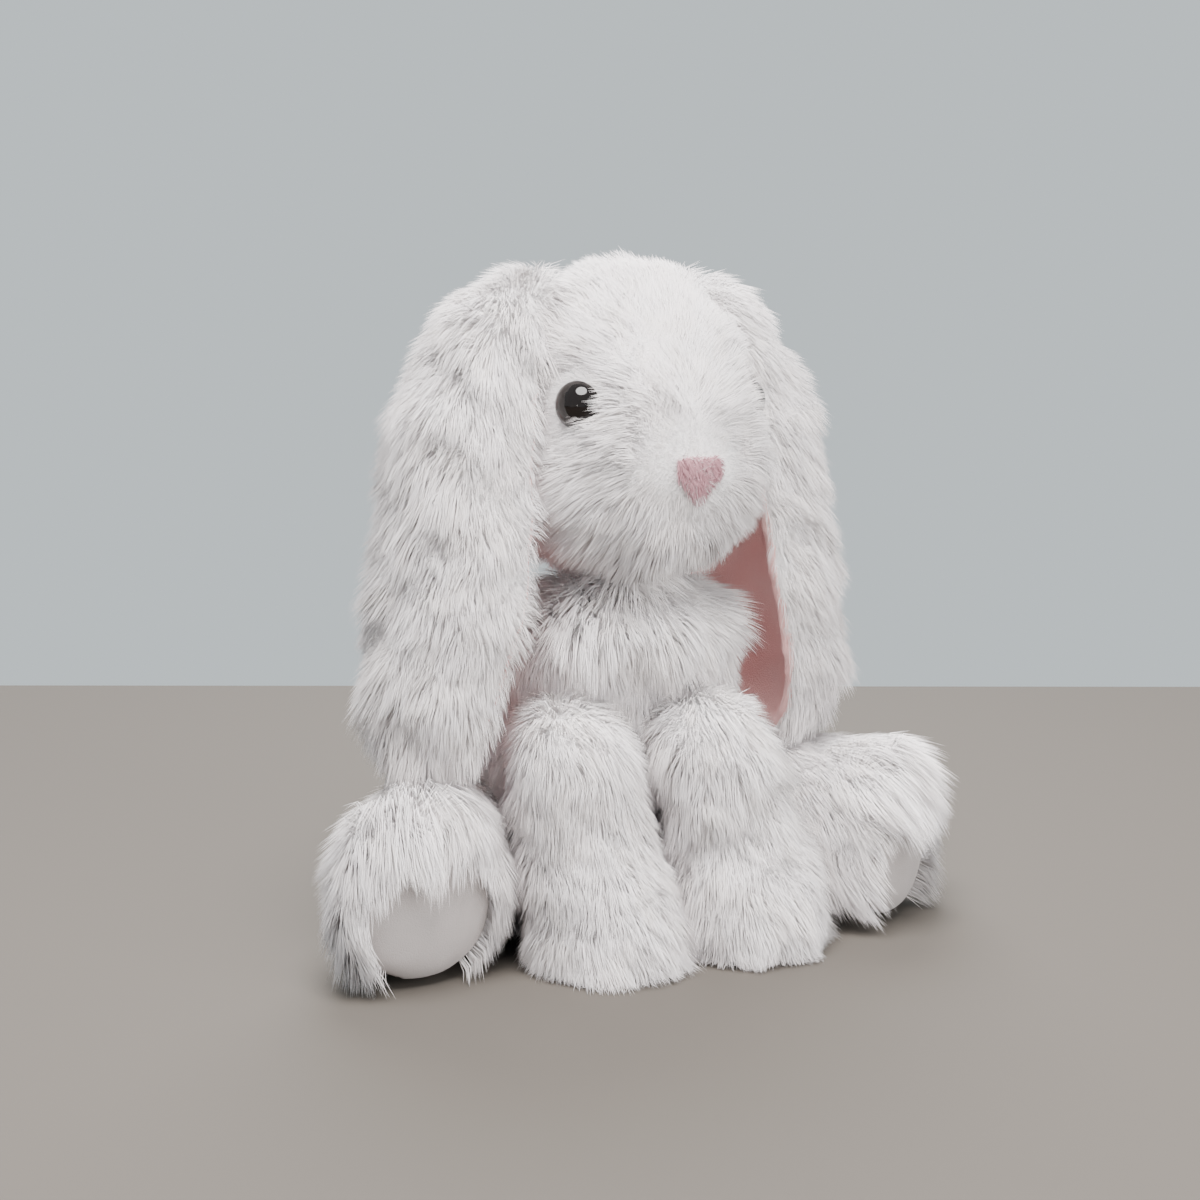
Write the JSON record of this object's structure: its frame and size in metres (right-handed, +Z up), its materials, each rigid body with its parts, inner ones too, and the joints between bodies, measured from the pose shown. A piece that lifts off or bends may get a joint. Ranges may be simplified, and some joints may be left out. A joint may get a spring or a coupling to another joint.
{
  "type": "plush toy rabbit",
  "caption": "Sitting plush rabbit with long white fur, lop ears lined in pink, round dark eyes, pink nose and smooth soles; head, ears and legs flex at their seams",
  "frame": {"origin": "on the table, on the flat seat under the middle of the body", "axes": "+Z up, the rabbit faces -Y, its own left side is +X"},
  "size_m": [0.2052, 0.1415, 0.2085],
  "materials": {
    "white_fur": "long soft white pile",
    "smooth_plush": "short smooth plush",
    "pink_lining": "short pink plush",
    "pink_nose": "short fuzzy pink pile",
    "eye_plastic": "polished dark dome",
    "washer_plastic": "moulded",
    "pouch_cloth": "thin woven cloth",
    "pellet_plastic": "small smooth pellets",
    "fibre_filling": "loose polyester fibre"
  },
  "bodies": {
    "torso": {"body_front_panel": "white_fur", "body_back_left_panel": "white_fur", "body_back_right_panel": "white_fur", "seat_panel": "smooth_plush", "body_stuffing": "fibre_filling", "pellet_pouch": "pouch_cloth", "pellet_filling": "pellet_plastic", "tail_cover": "white_fur", "tail_stuffing": "fibre_filling"},
    "neck": {"neck_stuffing": "fibre_filling"},
    "head": {"head_gusset": "white_fur", "head_left_panel": "white_fur", "head_right_panel": "white_fur", "head_stuffing": "fibre_filling", "nose_patch": "pink_nose", "eye_left": "eye_plastic", "eye_right": "eye_plastic", "eye_washer_left": "washer_plastic", "eye_washer_right": "washer_plastic"},
    "ear_left": {"ear_left_fur": "white_fur", "ear_left_lining": "pink_lining"},
    "ear_right": {"ear_right_fur": "white_fur", "ear_right_lining": "pink_lining"},
    "front_leg_left": {"front_leg_left_cover": "white_fur", "front_leg_left_sole": "smooth_plush", "front_leg_left_stuffing": "fibre_filling"},
    "front_leg_right": {"front_leg_right_cover": "white_fur", "front_leg_right_sole": "smooth_plush", "front_leg_right_stuffing": "fibre_filling"},
    "hind_leg_left": {"hind_leg_left_cover": "white_fur", "hind_leg_left_sole": "smooth_plush", "hind_leg_left_stuffing": "fibre_filling"},
    "hind_leg_right": {"hind_leg_right_cover": "white_fur", "hind_leg_right_sole": "smooth_plush", "hind_leg_right_stuffing": "fibre_filling"}
  },
  "joints": [
    {"name": "neck_turn", "type": "hinge", "parent": "torso", "child": "neck", "pos_m": [-0.002, -0.015, 0.112], "axis": [0, 0, 1], "range_deg": [-15, 15], "stiffness_Nm_per_rad": 0.4},
    {"name": "neck_nod", "type": "hinge", "parent": "neck", "child": "head", "pos_m": [-0.002, -0.015, 0.112], "axis": [0.9781, 0.2079, 0], "range_deg": [-5, 5], "stiffness_Nm_per_rad": 1.2},
    {"name": "ear_left_lift", "type": "hinge", "parent": "head", "child": "ear_left", "pos_m": [0.01765, -0.00162, 0.2025], "axis": [0.2079, -0.9781, 0], "range_deg": [0, 70]},
    {"name": "ear_right_lift", "type": "hinge", "parent": "head", "child": "ear_right", "pos_m": [-0.02539, -0.01077, 0.2025], "axis": [-0.2079, 0.9781, 0], "range_deg": [0, 70]},
    {"name": "front_leg_left_swing", "type": "hinge", "parent": "torso", "child": "front_leg_left", "pos_m": [0.0165, -0.0325, 0.077], "axis": [-1, 0, 0], "range_deg": [0, 40], "stiffness_Nm_per_rad": 0.06},
    {"name": "front_leg_right_swing", "type": "hinge", "parent": "torso", "child": "front_leg_right", "pos_m": [-0.0285, -0.0325, 0.077], "axis": [-1, 0, 0], "range_deg": [0, 40], "stiffness_Nm_per_rad": 0.06},
    {"name": "hind_leg_left_spread", "type": "hinge", "parent": "torso", "child": "hind_leg_left", "pos_m": [0.0515, 0.016, 0.02], "axis": [0, 0, 1], "range_deg": [0, 20], "stiffness_Nm_per_rad": 0.1},
    {"name": "hind_leg_right_spread", "type": "hinge", "parent": "torso", "child": "hind_leg_right", "pos_m": [-0.0515, 0.016, 0.02], "axis": [0, 0, -1], "range_deg": [0, 20], "stiffness_Nm_per_rad": 0.1}
  ]
}
